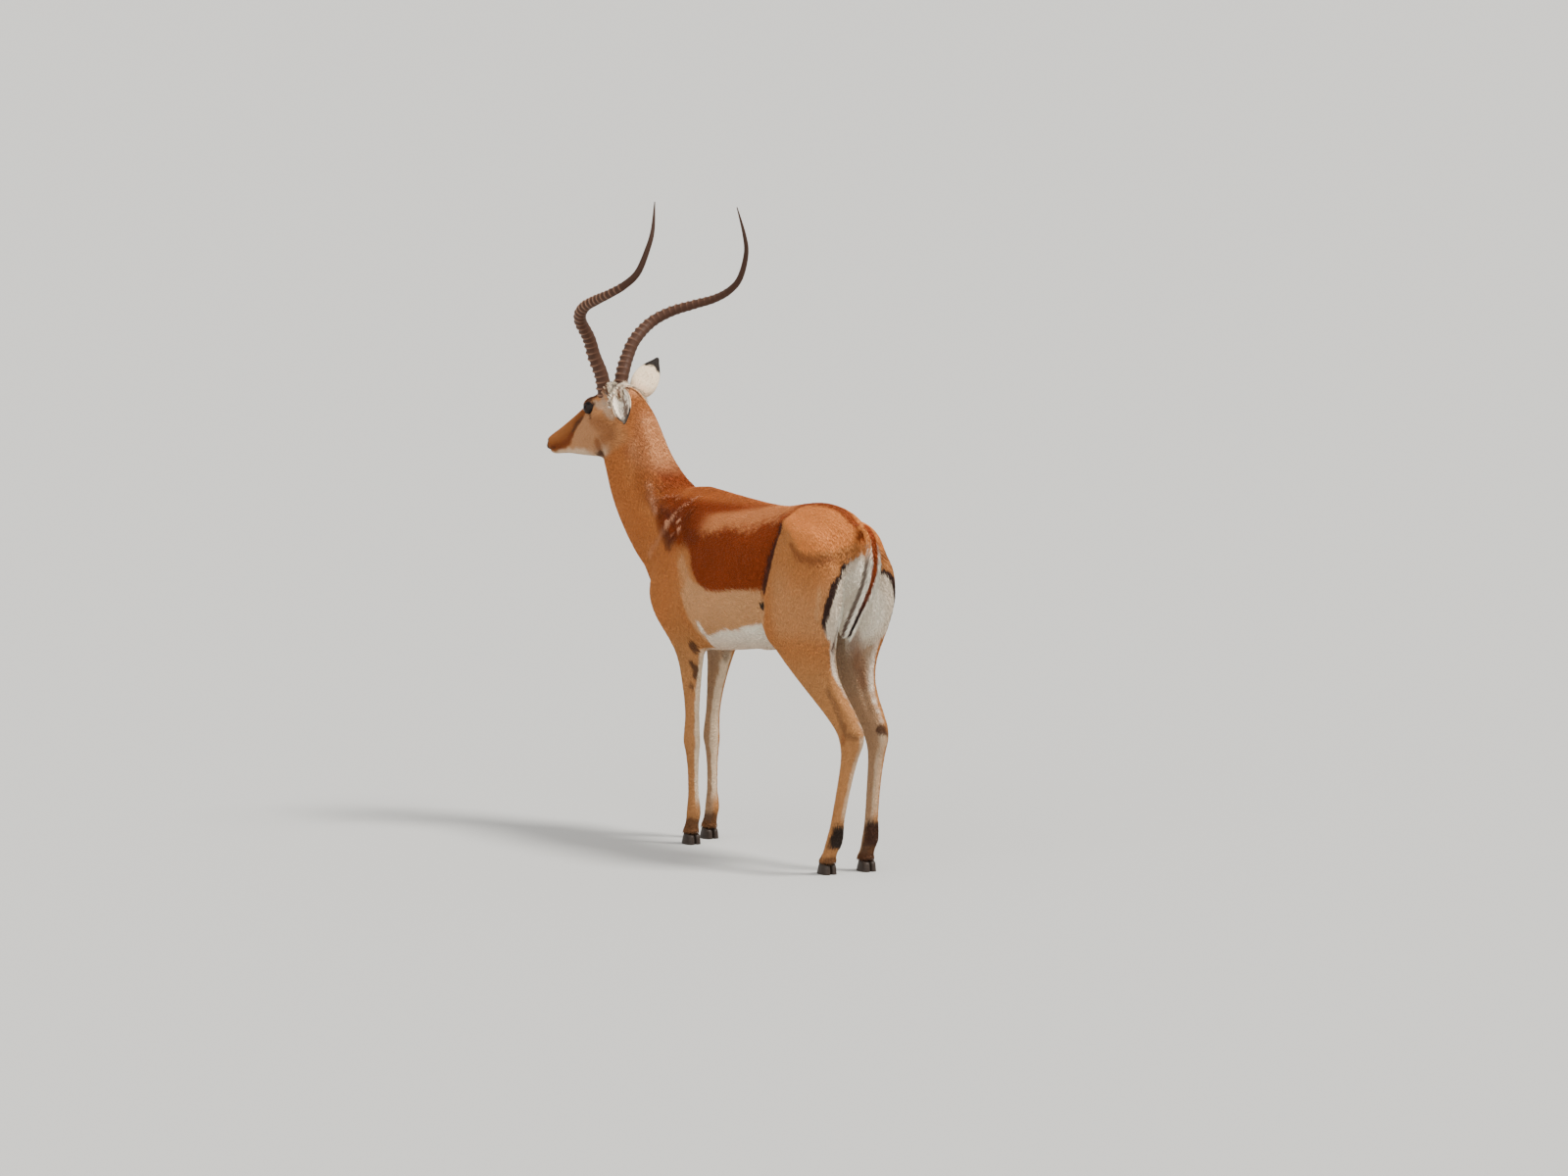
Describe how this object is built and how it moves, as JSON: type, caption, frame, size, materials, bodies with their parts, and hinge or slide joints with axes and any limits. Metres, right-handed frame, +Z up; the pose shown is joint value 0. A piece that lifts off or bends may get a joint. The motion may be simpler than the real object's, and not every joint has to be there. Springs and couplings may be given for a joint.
{
  "type": "impala antelope",
  "caption": "Life-size male impala standing still on four slim legs, head turned to its left, with long ringed lyre-shaped horns and a hanging tail.",
  "frame": {"origin": "centre of the bounding box at floor level, under the hooves", "axes": "+Z up, the animal faces -Y, its left side is +X"},
  "size_m": [0.4488, 1.2682, 1.6426],
  "materials": {
    "tan_coat": "short tan coat",
    "rufous_coat": "short glossy red-brown coat",
    "cream_coat": "soft cream hair",
    "ringed_horn": "dark brown ringed horn, satin",
    "hoof_horn": "black hoof horn, satin",
    "eye_gloss": "dark wet gloss"
  },
  "bodies": {
    "root": {"trunk": "rufous_coat", "neck": "tan_coat", "head": "tan_coat", "tail": "rufous_coat", "front_leg_left": "tan_coat", "front_leg_right": "tan_coat", "hind_leg_left": "tan_coat", "hind_leg_right": "tan_coat", "front_claw_left_inner": "hoof_horn", "front_claw_left_outer": "hoof_horn", "front_claw_right_inner": "hoof_horn", "front_claw_right_outer": "hoof_horn", "hind_claw_left_inner": "hoof_horn", "hind_claw_left_outer": "hoof_horn", "hind_claw_right_inner": "hoof_horn", "hind_claw_right_outer": "hoof_horn", "ear_left": "cream_coat", "ear_right": "cream_coat", "eye_left": "eye_gloss", "eye_right": "eye_gloss", "horn_left": "ringed_horn", "horn_right": "ringed_horn"}
  },
  "joints": []
}
